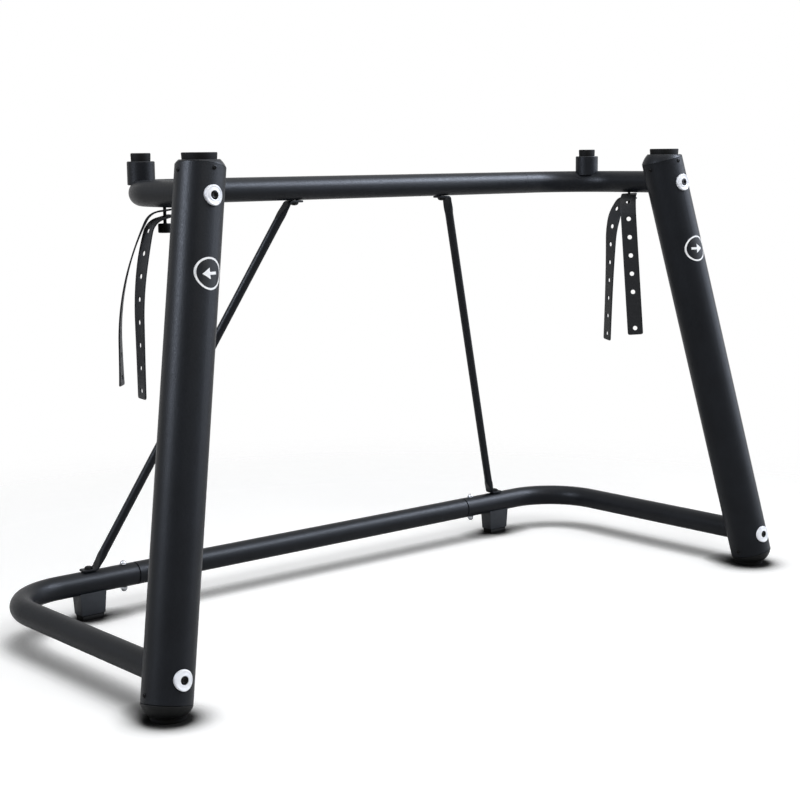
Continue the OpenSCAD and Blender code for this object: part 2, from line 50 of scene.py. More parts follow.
print("stand: loaded", len(frame["nodes"]), "solids")


# camera, at the photograph's place
cameraData = {
    "place": (-1467.92 * mm, -1717.63 * mm, 625.57 * mm),
    "yaw": 40.4016,  # degrees, to the right of +y
    "pitch": 8.5261,  # degrees, down
    "roll": -0.5647,
    "lens": 73.413, "sensor": 36,
}


def makeCamera(data):
    yaw, pitch, roll = (math.radians(data[key]) for key in ("yaw", "pitch", "roll"))
    ahead = Vector((math.sin(yaw) * math.cos(pitch), math.cos(yaw) * math.cos(pitch), -math.sin(pitch)))
    right = Vector((math.cos(yaw), -math.sin(yaw), 0))
    up = right.cross(ahead)
    leanRight = right * math.cos(roll) + up * math.sin(roll)
    leanUp = up * math.cos(roll) - right * math.sin(roll)
    camera = bpy.data.objects.new("camera", bpy.data.cameras.new("camera"))
    camera.data.lens = data["lens"]
    camera.data.sensor_width = data["sensor"]
    turn = Matrix((leanRight, leanUp, -ahead)).transposed().to_4x4()
    camera.matrix_world = Matrix.Translation(data["place"]) @ turn
    scene.collection.objects.link(camera)
    scene.camera = camera


makeCamera(cameraData)


# node helpers, for materials and geometry alike
def addNode(tree, kind, values=None, **settings):
    node = tree.nodes.new(kind)
    for key, value in settings.items():
        setattr(node, key, value)
    for key, value in (values or {}).items():
        node.inputs[key].default_value = value
    return node


def join(tree, *rows):
    # a row runs from a socket, or from a node's output, to a node's input
    for *source, node, name in rows:
        output = source[0].outputs[source[1]] if source[1:] else source[0]
        tree.links.new(output, node.inputs[name])


# studio: white backdrop, pale floor, soft boxes
studioData = {
    "fill": 0.16,  # world light on the object
    "floorColour": (0.9, 0.9, 0.9, 1),
    "floorLift": 0.28,
    # painted contact shadow on the floor: how far it reaches round what stands on it, how closed in the floor is
    # where the painted shadow is darkest, and that shadow's tone
    "paintedShadow": {"reach": 0.05, "dark": 0.55, "tone": (0.022, 0.022, 0.022, 1)},
    "floorFade": (0.66, 1.4),  # where the floor melts into the backdrop
    "floorSides": 96,
    "boxes": {
        "keyBox": {"place": (-0.3, -2.2, 2.4), "aim": (0, 0, 0.2), "size": (2.2, 1.5), "power": 60, "sheen": False},
        "topBox": {"place": (0.1, 0.3, 3.0), "aim": (0, 0, 0), "size": (2.6, 2.0), "power": 46, "sheen": False},
        "tubeBox": {"place": (2.0, -1.3, 2.3), "aim": (0, 0.1, 0.4), "size": (2.2, 1.0), "power": 340, "sheen": True},
        "sideWall": {"place": (2.15, -1.25, 0.75), "aim": (0, -0.1, 0.4), "size": (2.2, 1.3), "power": 46,
                     "sheen": True},
        "leftStrip": {"place": (-2.55, 0.3, 1.62), "aim": (-0.45, -0.1, 0.5), "size": (0.8, 1.2), "power": 160,
                      "sheen": True},
    },
    "boxColour": (0.98, 0.99, 1.0),
    "sheenColour": (0.76, 0.84, 1.0),
}


def seenRays(tree):
    # 1 for the rays that see the backdrop: straight, mirrored or through glass
    path = addNode(tree, "ShaderNodeLightPath")
    straightOrMirrored = addNode(tree, "ShaderNodeMath", operation="MAXIMUM")
    seen = addNode(tree, "ShaderNodeMath", operation="MAXIMUM")
    join(tree,
         (path, "Is Camera Ray", straightOrMirrored, 0),
         (path, "Is Glossy Ray", straightOrMirrored, 1),
         (straightOrMirrored, 0, seen, 0),
         (path, "Is Transmission Ray", seen, 1))
    return seen.outputs[0]


def makeBackdrop(data):
    world = bpy.data.worlds.new("studio")
    scene.world = world
    world.use_nodes = True
    tree = world.node_tree
    tree.nodes.clear()
    fill = addNode(tree, "ShaderNodeBackground", {"Color": (1, 1, 1, 1), "Strength": data["fill"]})
    white = addNode(tree, "ShaderNodeBackground", {"Color": (1, 1, 1, 1), "Strength": 1})
    mix = addNode(tree, "ShaderNodeMixShader")
    out = addNode(tree, "ShaderNodeOutputWorld")
    join(tree,
         (seenRays(tree), mix, 0),
         (fill, 0, mix, 1),
         (white, 0, mix, 2),
         (mix, 0, out, "Surface"))


def floorPaper(data):
    # pale paper with a painted contact shadow, dark where something stands on it, clear far out
    material = bpy.data.materials.new("floorPaper")
    material.use_nodes = True
    tree = material.node_tree
    tree.nodes.clear()
    paintedShadow = data["paintedShadow"]
    fadeFrom, fadeTo = data["floorFade"]
    paper = addNode(tree, "ShaderNodeBsdfDiffuse")
    lift = addNode(tree, "ShaderNodeEmission")
    # painted shadow: ambient occlusion darkens the paper's colour and its glow where the object stands close by
    near = addNode(tree, "ShaderNodeAmbientOcclusion", {"Distance": paintedShadow["reach"]})
    deep = addNode(tree, "ShaderNodeMapRange", {"From Min": paintedShadow["dark"]}, interpolation_type="SMOOTHSTEP")
    shade = addNode(tree, "ShaderNodeMix", data_type="RGBA")
    shadeFrom, shadeTo = (socket for socket in shade.inputs if socket.type == "RGBA")
    shadeFrom.default_value, shadeTo.default_value = paintedShadow["tone"], data["floorColour"]
    shaded = next(socket for socket in shade.outputs if socket.type == "RGBA")
    faint = addNode(tree, "ShaderNodeMath", {1: data["floorLift"]}, operation="MULTIPLY")
    lifted = addNode(tree, "ShaderNodeAddShader")
    clear = addNode(tree, "ShaderNodeBsdfTransparent")
    place = addNode(tree, "ShaderNodeTexCoord")
    length = addNode(tree, "ShaderNodeVectorMath", operation="LENGTH")
    fade = addNode(tree, "ShaderNodeMapRange", {"From Min": fadeFrom, "From Max": fadeTo},
                   interpolation_type="SMOOTHSTEP")
    mix = addNode(tree, "ShaderNodeMixShader")
    out = addNode(tree, "ShaderNodeOutputMaterial")
    join(tree,
         (place, "Object", length, 0),
         (length, "Value", fade, "Value"),
         (near, "AO", deep, "Value"),
         (deep, 0, shade, "Factor"),
         (shaded, paper, "Color"),
         (deep, 0, faint, 0),
         (faint, 0, lift, "Strength"),
         (paper, 0, lifted, 0),
         (lift, 0, lifted, 1),
         (fade, 0, mix, 0),
         (lifted, 0, mix, 1),
         (clear, 0, mix, 2),
         (mix, 0, out, "Surface"))
    return material


def makeFloor(data):
    bm = bmesh.new()
    bmesh.ops.create_circle(bm, cap_ends=True, segments=data["floorSides"], radius=data["floorFade"][1])
    mesh = bpy.data.meshes.new("floor")
    bm.to_mesh(mesh)
    bm.free()
    mesh.materials.append(floorPaper(data))
    floor = bpy.data.objects.new("floor", mesh)
    scene.collection.objects.link(floor)


def makeSoftBox(name, data, colour):
    lamp = bpy.data.lights.new(name, "AREA")
    lamp.color = colour
    lamp.shape = "RECTANGLE"
    lamp.size, lamp.size_y = data["size"]
    lamp.energy = data["power"]
    box = bpy.data.objects.new(name, lamp)
    box.visible_diffuse = not data["sheen"]  # a sheen box is only seen mirrored in the coating
    box.location = data["place"]
    aim = Vector(data["aim"]) - Vector(data["place"])
    box.rotation_euler = aim.to_track_quat("-Z", "Y").to_euler()
    scene.collection.objects.link(box)


makeBackdrop(studioData)
makeFloor(studioData)
for boxName, boxData in studioData["boxes"].items():
    makeSoftBox(boxName, boxData, studioData["sheenColour" if boxData["sheen"] else "boxColour"])
print("stand: studio ready")


# finishes: patch, grain, scratch and streak are noise scales
finishData = {
    "powderCoat": {
        "dark": (0.0034, 0.0042, 0.006, 1), "pale": (0.0057, 0.0069, 0.0094, 1), "patch": 26,
        "rough": (0.36, 0.5), "specular": 0.1, "grain": 540, "bump": 0.55, "depth": 0.3 * mm,
    },
    "capPlastic": {
        "dark": (0.0042, 0.0045, 0.0046, 1), "pale": (0.0068, 0.0071, 0.0072, 1), "patch": 60,
        "rough": (0.44, 0.56), "specular": 0.12, "grain": 1200, "bump": 0.24, "depth": 0.14 * mm,
    },
    "footPlastic": {
        "dark": (0.0115, 0.014, 0.0185, 1), "pale": (0.0165, 0.0195, 0.025, 1), "patch": 60,
        "rough": (0.46, 0.58), "specular": 0.25, "grain": 1100, "bump": 0.25, "depth": 0.14 * mm,
    },
    "padRubber": {
        "dark": (0.0036, 0.0036, 0.0034, 1), "pale": (0.0062, 0.006, 0.0057, 1), "patch": 90,
        "rough": (0.6, 0.75), "specular": 0.06, "grain": 1300, "bump": 0.3, "depth": 0.16 * mm,
    },
    "blackOxide": {
        "dark": (0.0014, 0.0014, 0.0016, 1), "pale": (0.0034, 0.0034, 0.0037, 1), "patch": 300,
        "rough": (0.22, 0.34), "specular": 0.08, "grain": 1400, "bump": 0.1, "depth": 0.06 * mm,
    },
    "nylonWhite": {
        "dark": (0.72, 0.745, 0.8, 1), "pale": (0.81, 0.825, 0.87, 1), "patch": 120,
        "rough": (0.34, 0.46), "specular": 0.5, "grain": 1600, "bump": 0.08, "depth": 0.06 * mm,
    },
    "signInk": {
        "dark": (0.82, 0.83, 0.85, 1), "pale": (0.9, 0.905, 0.91, 1), "patch": 400,
        "rough": (0.45, 0.6), "specular": 0.4, "grain": 2600, "bump": 0.1, "depth": 0.04 * mm,
    },
}
metalData = {
    "chrome": {"dark": (0.25, 0.26, 0.28, 1), "pale": (0.36, 0.37, 0.39, 1), "rough": (0.06, 0.15), "scratch": 900},
    "plainSteel": {"dark": (0.34, 0.34, 0.35, 1), "pale": (0.5, 0.5, 0.51, 1), "rough": (0.3, 0.5), "scratch": 600},
}
strapRubberData = {
    "dark": (0.0036, 0.0039, 0.0046, 1), "pale": (0.0078, 0.0083, 0.0094, 1), "specular": 0.15, "bloom": 0.07,
    "rough": (0.5, 0.68), "streak": (260, 26, 1), "grain": 1700, "bump": 0.22, "depth": 0.1 * mm,
}
polish = (1, 1, 0.15)  # stretches a metal's noise into long faint polishing marks
noiseSpan = (0.3, 0.7)  # most of a noise lies between these


def startMaterial(name):
    material = bpy.data.materials.new(name)
    material.use_nodes = True
    tree = material.node_tree
    return material, tree, tree.nodes["Principled BSDF"]


def addNoise(tree, coordinate, scale, detail):
    noise = addNode(tree, "ShaderNodeTexNoise", {"Scale": scale, "Detail": detail})
    join(tree, (coordinate, noise, "Vector"))
    return noise.outputs["Fac"]


def addStretch(tree, coordinate, scale):
    stretch = addNode(tree, "ShaderNodeMapping", {"Scale": scale})
    join(tree, (coordinate, stretch, "Vector"))
    return stretch.outputs["Vector"]


def tintAndGloss(tree, shader, tint, gloss, data):
    # colour goes from dark to pale with one noise, roughness from low to high with the other
    ramp = addNode(tree, "ShaderNodeValToRGB")
    for stop, position, colour in zip(ramp.color_ramp.elements, noiseSpan, (data["dark"], data["pale"])):
        stop.position = position
        stop.color = colour
    spread = addNode(tree, "ShaderNodeMapRange", {
        "From Min": noiseSpan[0], "From Max": noiseSpan[1], "To Min": data["rough"][0], "To Max": data["rough"][1]})
    join(tree,
         (tint, ramp, "Fac"),
         (ramp, "Color", shader, "Base Color"),
         (gloss, spread, "Value"),
         (spread, 0, shader, "Roughness"))


def grainRelief(tree, shader, grain, data):
    bump = addNode(tree, "ShaderNodeBump", {"Strength": data["bump"], "Distance": data["depth"]})
    join(tree, (grain, bump, "Height"), (bump, "Normal", shader, "Normal"))
    shader.inputs["Specular IOR Level"].default_value = data["specular"]


def grainedFinish(name, data):
    # faint patches in colour over a fine moulded or sprayed grain
    material, tree, shader = startMaterial(name)
    place = addNode(tree, "ShaderNodeTexCoord").outputs["Object"]
    patch = addNoise(tree, place, data["patch"], detail=3)
    grain = addNoise(tree, place, data["grain"], detail=2)
    tintAndGloss(tree, shader, patch, grain, data)
    grainRelief(tree, shader, grain, data)
    return material


def metalFinish(name, data):
    material, tree, shader = startMaterial(name)
    place = addNode(tree, "ShaderNodeTexCoord").outputs["Object"]
    scratch = addNoise(tree, addStretch(tree, place, polish), data["scratch"], detail=4)
    tintAndGloss(tree, shader, scratch, scratch, data)
    shader.inputs["Metallic"].default_value = 1
    return material


def strapRubberFinish(name, data):
    # drawn rubber: streaks run along the strap's own length
    material, tree, shader = startMaterial(name)
    length = addNode(tree, "ShaderNodeUVMap", uv_map="strapUv").outputs["UV"]
    streak = addNoise(tree, addStretch(tree, length, data["streak"]), 1, detail=3)
    grain = addNoise(tree, length, data["grain"], detail=2)
    tintAndGloss(tree, shader, streak, grain, data)
    grainRelief(tree, shader, grain, data)
    shader.inputs["Sheen Weight"].default_value = data["bloom"]  # pale dust, seen at a slant
    return material


finishes = {name: grainedFinish(name, data) for name, data in finishData.items()}
finishes.update({name: metalFinish(name, data) for name, data in metalData.items()})
finishes["strapRubber"] = strapRubberFinish("strapRubber", strapRubberData)
print("stand: finishes", ", ".join(sorted(finishes)))


# mesh helpers
def circlePoints(centre, across, along, radius, count=64):
    step = 2 * math.pi / count
    return [centre + (across * math.cos(i * step) + along * math.sin(i * step)) * radius for i in range(count)]


def latheRings(profile, count=64):
    # profile holds (radius, height) pairs, turned about z
    return [circlePoints(zAxis * height, xAxis, yAxis, radius, count) for radius, height in profile]


def moved(rings, shift):
    return [[point + Vector(shift) for point in ring] for ring in rings]


def roundedEdge(radius, height, fillet, steps=4):
    # profile of a disc's rounded upper rim, from its side up and in
    arc = [math.radians(90 * i / steps) for i in range(steps + 1)]
    return [(radius - fillet + fillet * math.cos(a), height - fillet + fillet * math.sin(a)) for a in arc]


def domeProfile(radius, low, height, steps):
    # between the dome's foot and its crown
    arc = [math.radians(90 * i / steps) for i in range(1, steps)]
    return [(radius * math.cos(a), low + height * math.sin(a)) for a in arc]


def dished(radius, top, depth):
    # ends a profile in a shallow dish
    return [(radius, top), (radius - depth, top - depth)]


def arcPoint(a, corner, b, t):
    # on the curve from a to b that is pulled to a corner
    return a * (1 - t) ** 2 + corner * 2 * t * (1 - t) + b * t * t


def loft(bm, rings, loop=False):
    # skins rings of equal count; fills both ends, or joins the last ring to the first
    rows = [[bm.verts.new(point) for point in ring] for ring in rings]
    for low, high in list(zip(rows, rows[1:])) + ([(rows[-1], rows[0])] if loop else []):
        for i in range(len(low)):
            j = (i + 1) % len(low)
            bm.faces.new((low[i], low[j], high[j], high[i]))
    if not loop:
        bm.faces.new(list(reversed(rows[0])))
        bm.faces.new(rows[-1])


def smoothMesh(mesh, sharp):
    mesh.shade_smooth()
    mesh.set_sharp_from_angle(angle=math.radians(sharp))


def meshObject(name, bm, finish, sharp=32):
    bmesh.ops.recalc_face_normals(bm, faces=bm.faces)
    mesh = bpy.data.meshes.new(name)
    bm.to_mesh(mesh)
    bm.free()
    smoothMesh(mesh, sharp)
    mesh.materials.append(finishes[finish])
    piece = bpy.data.objects.new(name, mesh)
    scene.collection.objects.link(piece)
    return piece


def loftObject(name, rings, finish, sharp=32):
    bm = bmesh.new()
    loft(bm, rings)
    return meshObject(name, bm, finish, sharp)


def bakeModifiers(piece):
    # leaves the piece as plain mesh
    graph = bpy.context.evaluated_depsgraph_get()
    made = bpy.data.meshes.new_from_object(piece.evaluated_get(graph))
    piece.modifiers.clear()
    piece.data = made


def seat(piece, nodes=(), body="stand"):
    # rides with its body and stands for the solids it refines
    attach(piece, body)
    if nodes:
        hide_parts(*nodes)


# columns: every fitting on them is placed from their axes
columnData = {
    "footX": 531 * mm, "headX": 402.5 * mm, "floorY": -205.468 * mm, "leanBack": 90 * mm, "height": 631.5 * mm,
    "radius": 30 * mm, "lowZ": 19.433 * mm, "highZ": 614.867 * mm,  # where the axis leaves the tube's ends
}


def axisPoint(side, z):
    share = z / columnData["height"]
    x = columnData["footX"] + (columnData["headX"] - columnData["footX"]) * share
    return Vector((side * x, columnData["floorY"] + columnData["leanBack"] * share, z))


def axisWay(side):
    return (axisPoint(side, columnData["height"]) - axisPoint(side, 0)).normalized()


def axisAcross(side):
    way = axisWay(side)
    return (xAxis - way * way.x).normalized()


def columnRing(side, z, along, inset):
    # square to the column, a step along its axis from height z, inset from its skin
    way, across = axisWay(side), axisAcross(side)
    return circlePoints(axisPoint(side, z) + way * along, across, way.cross(across), columnData["radius"] - inset)


def onColumn(side, z, azimuth, sideways, upwards, proud):
    # the point on the column's skin, seen along azimuth, proud of it by a little
    way = axisWay(side)
    out = Vector((math.cos(azimuth), math.sin(azimuth), 0))
    lateral = Vector((-out.y, out.x, 0))
    start = lateral * sideways + zAxis * upwards
    flatStart = start - way * start.dot(way)
    flatOut = out - way * out.dot(way)
    mix = flatStart.dot(flatOut)
    size = flatOut.length_squared
    reach = (columnData["radius"] + proud) ** 2 - flatStart.length_squared
    return axisPoint(side, z) + start + out * ((-mix + math.sqrt(mix * mix + size * reach)) / size)


def skinRing(side, z, azimuth, radius, proud, spokes):
    step = 2 * math.pi / spokes
    return [onColumn(side, z, azimuth, radius * math.cos(i * step), radius * math.sin(i * step), proud)
            for i in range(spokes)]


# a cap starts let in at the seam and comes out to the tube's skin; round is 0 for a chamfer and 1 for a full round
capData = {
    "head": {"level": 623.5 * mm, "flat": 24 * mm, "seam": 0.1 * mm, "inset": 0.5 * mm, "skin": [0.4 * mm],
             "round": 0.22, "finish": "powderCoat"},
    "foot": {"level": 7 * mm, "flat": 23 * mm, "seam": -0.6 * mm, "inset": 0.8 * mm, "skin": [-1 * mm, -1.6 * mm],
             "round": 0.35, "finish": "capPlastic"},
    "padShift": 3 * mm,  # level faces sit this far off the ends' middles, along the lean
    "rounds": 10,
}
endHeights = {"head": columnData["highZ"], "foot": columnData["lowZ"]}
padData = {
    "radius": 21 * mm, "flare": 0.5 * mm, "fillet": 1.2 * mm, "dish": 0.5 * mm, "dishRadius": 16 * mm,
    "headTop": 631.5 * mm, "footTop": 7 * mm, "footFillet": 1.6 * mm,
}


def endMiddle(end, side, level):
    way, middle = axisWay(side), axisPoint(side, endHeights[end])
    shift = capData["padShift"] * (-1 if end == "head" else 1)
    return Vector((middle.x, middle.y, level)) + Vector((way.x, way.y, 0)).normalized() * shift


def shoulder(side, start, flat, level, rounded):
    # rings from the tube's rim over to a level face
    way = axisWay(side)
    rings = []
    for i in range(capData["rounds"] + 1):
        ring = []
        for a, b in zip(start, flat):
            corner = a + way * ((level - a.z) / way.z)
            pulled = (a + b) / 2 * (1 - rounded) + corner * rounded
            ring.append(arcPoint(a, pulled, b, i / capData["rounds"]))
        rings.append(ring)
    return rings


def makeCap(end, name, side):
    data, z = capData[end], endHeights[end]
    rims = [columnRing(side, z, along, 0) for along in data["skin"]]
    flat = circlePoints(endMiddle(end, side, data["level"]), xAxis, yAxis, data["flat"])
    rings = [columnRing(side, z, data["seam"], data["inset"])] + rims[:-1]
    rings += shoulder(side, rims[-1], flat, data["level"], data["round"])
    cap = loftObject(name + end.capitalize() + "Cap", rings, data["finish"], sharp=40)
    seat(cap, [name + "_" + end + "_cap"])


def makeHeadPad(name, side, data):
    profile = [(data["radius"] - data["flare"], capData["head"]["level"])]
    profile += roundedEdge(data["radius"], data["headTop"], data["fillet"])
    profile += dished(data["dishRadius"], data["headTop"], data["dish"])
    pad = loftObject(name + "HeadPad", moved(latheRings(profile), endMiddle("head", side, 0)), "padRubber")
    seat(pad, [name + "_head_pad"])


def makeFootPad(name, side, data):
    top, radius = data["footTop"], data["radius"]
    profile = [(radius, top)] + [(r, top - z) for r, z in roundedEdge(radius, top, data["footFillet"])]
    pad = loftObject(name + "FootPad", moved(latheRings(profile), endMiddle("foot", side, 0)), "padRubber")
    seat(pad, [name + "_foot_pad"])


for sideName, side in sides.items():
    makeCap("head", sideName, side)
    makeCap("foot", sideName, side)
    makeHeadPad(sideName, side, padData)
    makeFootPad(sideName, side, padData)
print("stand: column ends")


# white washers, bent to the columns, and the round signs printed on the columns
washerData = {
    "heights": (51 * mm, 583 * mm), "spokes": 72, "boltSeat": 1.3 * mm,
    # (radius, how proud) in mm: hole, counterbore, inner lip, shallow dish, outer lip, rolled rim, underside
    "profile": [(3.2, 0.12), (3.2, 1.15), (5.15, 1.2), (5.2, 2.95), (5.5, 3.2), (6.3, 3.25), (6.9, 2.75), (9.5, 2.75),
                (10.1, 3.25), (11.0, 3.25), (11.6, 3.0), (12.0, 2.4), (12.0, 0.12)],
}


def makeWashers(data):
    bm = bmesh.new()
    for side in sides.values():
        for z in data["heights"]:
            rings = [skinRing(side, z, front, radius * mm, proud * mm, data["spokes"])
                     for radius, proud in data["profile"]]
            loft(bm, rings, loop=True)
    seat(meshObject("columnWashers", bm, "nylonWhite", sharp=40), ["column_washers"])


# a dark disc inside a ring, with an arrow on it; under and proud are heights over the column's skin
signData = {
    "z": {"left": 495 * mm, "right": 486 * mm}, "inward": math.radians(4), "inner": 16.4 * mm, "outer": 18.7 * mm,
    "arrowTail": -9.5 * mm, "arrowNeck": 0, "arrowTip": 10 * mm, "shaft": 1.7 * mm, "barb": 6.6 * mm,
    "neckGap": 0.01 * mm, "tipGap": 0.2 * mm, "under": 0.04 * mm, "proud": 0.18 * mm,
    "discUnder": 0.01 * mm, "discProud": 0.06 * mm, "discLap": 0.4 * mm, "discSteps": (0.6, 0.25),
    "spokes": 96, "slices": 24,
}


def arrowHalf(along):
    # half height of the arrow at a place along it
    if along < signData["arrowNeck"]:
        return signData["shaft"]
    return signData["barb"] * (signData["arrowTip"] - along) / (signData["arrowTip"] - signData["arrowNeck"])


def arrowStops(low, high, gap, slices):
    return [low + (high - low) * i / slices for i in range(slices)] + [high - gap]


def makeSign(name, side, data):
    z, azimuth, inner, outer = data["z"][name], front - side * data["inward"], data["inner"], data["outer"]
    under, proud = data["under"], data["proud"]
    steps = [inner + data["discLap"]] + [inner * share for share in data["discSteps"]]
    disc = [skinRing(side, z, azimuth, steps[0], data["discUnder"], data["spokes"])]
    disc += [skinRing(side, z, azimuth, r, data["discProud"], data["spokes"]) for r in steps]
    seat(loftObject(name + "SignDisc", disc, "capPlastic", sharp=60))
    bm = bmesh.new()
    ring = [(inner, under), (inner, proud), (outer, proud), (outer, under)]
    loft(bm, [skinRing(side, z, azimuth, r, p, data["spokes"]) for r, p in ring], loop=True)
    stops = arrowStops(data["arrowTail"], data["arrowNeck"], data["neckGap"], data["slices"])
    stops += arrowStops(data["arrowNeck"], data["arrowTip"], data["tipGap"], data["slices"])
    sections = []
    for along in stops:
        half = arrowHalf(along)
        corners = [(-half, under), (half, under), (half, proud), (-half, proud)]
        sections.append([onColumn(side, z, azimuth, side * along, up, p) for up, p in corners])
    loft(bm, sections)
    seat(meshObject(name + "Sign", bm, "signInk", sharp=60))


makeWashers(washerData)
for sideName, side in sides.items():
    makeSign(sideName, side, signData)
print("stand: washers and signs")


# fasteners: one small head of each kind, set on its seats by geometry nodes
def startTree(name, inputs, output):
    # a geometry tree with named inputs, and the identifiers that a modifier sets them by
    tree = bpy.data.node_groups.new(name, "GeometryNodeTree")
    sockets = {}
    for label, kind in inputs.items():
        socket = tree.interface.new_socket(label, in_out="INPUT", socket_type="NodeSocket" + kind)
        sockets[label] = socket.identifier
    tree.interface.new_socket(output, in_out="OUTPUT", socket_type="NodeSocketGeometry")
    return tree, sockets, addNode(tree, "NodeGroupInput")


def endTree(tree, geometry, finish):
    realize = addNode(tree, "GeometryNodeRealizeInstances")
    dress = addNode(tree, "GeometryNodeSetMaterial")
    result = addNode(tree, "NodeGroupOutput")
    join(tree,
         (geometry, realize, "Geometry"),
         (realize, "Geometry", dress, "Geometry"),
         (finish, dress, "Material"),
         (dress, "Geometry", result, 0))


def enabledSocket(sockets, name=None):
    return next(socket for socket in sockets if socket.enabled and name in (None, socket.name))


def makeFastenerTree():
    tree, sockets, given = startTree(
        "fastenersOnSeats", {"Seats": "Geometry", "Fastener": "Object", "Finish": "Material", "Spin": "Float"},
        "Fasteners")
    facing = addNode(tree, "GeometryNodeInputNamedAttribute", {"Name": "facing"}, data_type="FLOAT_VECTOR")
    align = addNode(tree, "FunctionNodeAlignRotationToVector", axis="Z")
    spin = addNode(tree, "FunctionNodeRandomValue", {"Seed": 7}, data_type="FLOAT")
    spinTurn = addNode(tree, "FunctionNodeAxisAngleToRotation")
    turned = addNode(tree, "FunctionNodeRotateRotation", rotation_space="LOCAL")
    head = addNode(tree, "GeometryNodeObjectInfo")
    onSeats = addNode(tree, "GeometryNodeInstanceOnPoints")
    tree.links.new(given.outputs["Spin"], enabledSocket(spin.inputs, "Max"))
    join(tree,
         (enabledSocket(spin.outputs), spinTurn, "Angle"),
         (enabledSocket(facing.outputs), align, "Vector"),
         (align, "Rotation", turned, "Rotation"),
         (spinTurn, "Rotation", turned, "Rotate By"),
         (given, "Fastener", head, "Object"),
         (given, "Seats", onSeats, "Points"),
         (head, "Geometry", onSeats, "Instance"),
         (turned, "Rotation", onSeats, "Rotation"))
    endTree(tree, onSeats.outputs["Instances"], given.outputs["Finish"])
    return tree, sockets


def addTreeModifier(piece, tree, sockets, values):
    modifier = piece.modifiers.new(tree.name, "NODES")
    modifier.node_group = tree
    for label, value in values.items():
        modifier[sockets[label]] = value


fastenerTree, fastenerSockets = makeFastenerTree()


def setFasteners(name, head, seats, finish, nodes, spin=0.0):
    # seats holds (place, facing) pairs; head stands on z = 0 and points up
    mesh = bpy.data.meshes.new(name)
    mesh.from_pydata([place for place, facing in seats], [], [])
    facings = mesh.attributes.new("facing", "FLOAT_VECTOR", "POINT")
    facings.data.foreach_set("vector", [value for place, facing in seats for value in facing])
    piece = bpy.data.objects.new(name, mesh)
    scene.collection.objects.link(piece)
    addTreeModifier(piece, fastenerTree, fastenerSockets, {
        "Fastener": head, "Finish": finishes[finish], "Spin": spin})
    bakeModifiers(piece)
    bpy.data.objects.remove(head)
    seat(piece, nodes)


def hexRing(z, flats, count):
    # points round a hexagon of the given width over flats, as many as a circle of the same loft has
    ring = []
    for i in range(count):
        a = 2 * math.pi * i / count
        radius = flats / 2 / math.cos(a % (math.pi / 3) - math.pi / 6)
        ring.append(Vector((radius * math.cos(a), radius * math.sin(a), z)))
    return ring


# rim and point are shares of the socket's width, the lip leads into it
socketBoltData = {
    "radius": 4.95 * mm, "height": 2.7 * mm, "sink": 0.9 * mm, "fillet": 0.7 * mm, "socket": 4.4 * mm, "rim": 0.66,
    "lip": 0.35 * mm, "socketDepth": 1.3 * mm, "point": 0.12, "pointDepth": 0.5 * mm, "count": 48,
}


def socketHead(data):
    # round head with a hex socket; the sink reaches down into the washer
    count, socket, top = data["count"], data["socket"], data["height"] - data["sink"]
    profile = [(data["radius"], -data["sink"])] + roundedEdge(data["radius"], top, data["fillet"])
    rings = latheRings(profile + [(socket * data["rim"], top)], count)
    rings += [hexRing(top - depth, socket, count) for depth in (data["lip"], data["socketDepth"])]
    rings += latheRings([(socket * data["point"], top - data["socketDepth"] - data["pointDepth"])], count)
    return loftObject("socketHead", rings, "blackOxide", sharp=35)


# slotReach and slotFloor are shares of the head's radius, the insets are from the column's ends
capScrewData = {
    "radius": 2.7 * mm, "height": 1.3 * mm, "sink": 0.6 * mm, "fillet": 0.9 * mm, "slotWidth": 0.8 * mm,
    "slotDepth": 0.8 * mm, "slotReach": 0.66, "slotFloor": 0.5, "count": 48,
    "sideInset": 9 * mm, "frontInset": 5 * mm, "proud": 0.05 * mm,
}


def crossRing(z, reach, slotWidth, count):
    ring = []
    for i in range(count):
        a = 2 * math.pi * i / count
        out = Vector((math.cos(a), math.sin(a), 0))
        arm = slotWidth / 2 / max(min(abs(out.x), abs(out.y)), 1e-6)
        ring.append(out * min(arm, reach) + zAxis * z)
    return ring


def crossHead(data):
    # low pan head with a cross recess that narrows to its floor
    count, radius, top = data["count"], data["radius"], data["height"]
    rings = latheRings([(radius, -data["sink"])] + roundedEdge(radius, top, data["fillet"]), count)
    rings.append(crossRing(top, radius * data["slotReach"], data["slotWidth"], count))
    rings.append(crossRing(top - data["slotDepth"], radius * data["slotFloor"], data["slotWidth"], count))
    return loftObject("crossHead", rings, "blackOxide", sharp=30)


domeBoltData = {"radius": 4.6 * mm, "flange": 4.968 * mm, "flangeTop": 0.77 * mm, "skirt": 1.1 * mm,
                "height": 5.2 * mm, "crown": 0.138 * mm, "steps": 8, "count": 40}


def domeHead(data):
    radius, skirt = data["radius"], data["skirt"]
    profile = [(data["flange"], 0), (data["flange"], data["flangeTop"]), (radius, skirt)]
    profile += domeProfile(radius, skirt, data["height"] - skirt, data["steps"])
    profile.append((data["crown"], data["height"]))
    return loftObject("domeHead", latheRings(profile, data["count"]), "chrome", sharp=40)


domeNutData = {"flats": 8.6 * mm, "hexTop": 2.8 * mm, "neck": 4.232 * mm, "radius": 4.14 * mm, "domeLow": 3.3 * mm,
               "height": 6.7 * mm, "crown": 0.138 * mm, "steps": 8, "count": 48}


def domeNut(data):
    # hexagon base under the dome
    count, low, height = data["count"], data["domeLow"], data["height"]
    rings = [hexRing(z, data["flats"], count) for z in (0, data["hexTop"])]
    profile = [(data["neck"], low)] + domeProfile(data["radius"], low, height - low, data["steps"])
    rings += latheRings(profile + [(data["crown"], height)], count)
    return loftObject("domeNut", rings, "chrome", sharp=30)


hexBoltData = {"flats": 10 * mm, "height": 4 * mm, "flange": 6 * mm, "flangeSide": 0.7 * mm, "flangeTop": 1.1 * mm,
               "flangeBevel": 0.6 * mm, "hexLow": 1.25 * mm, "crown": 0.4 * mm, "steps": 6, "count": 48}


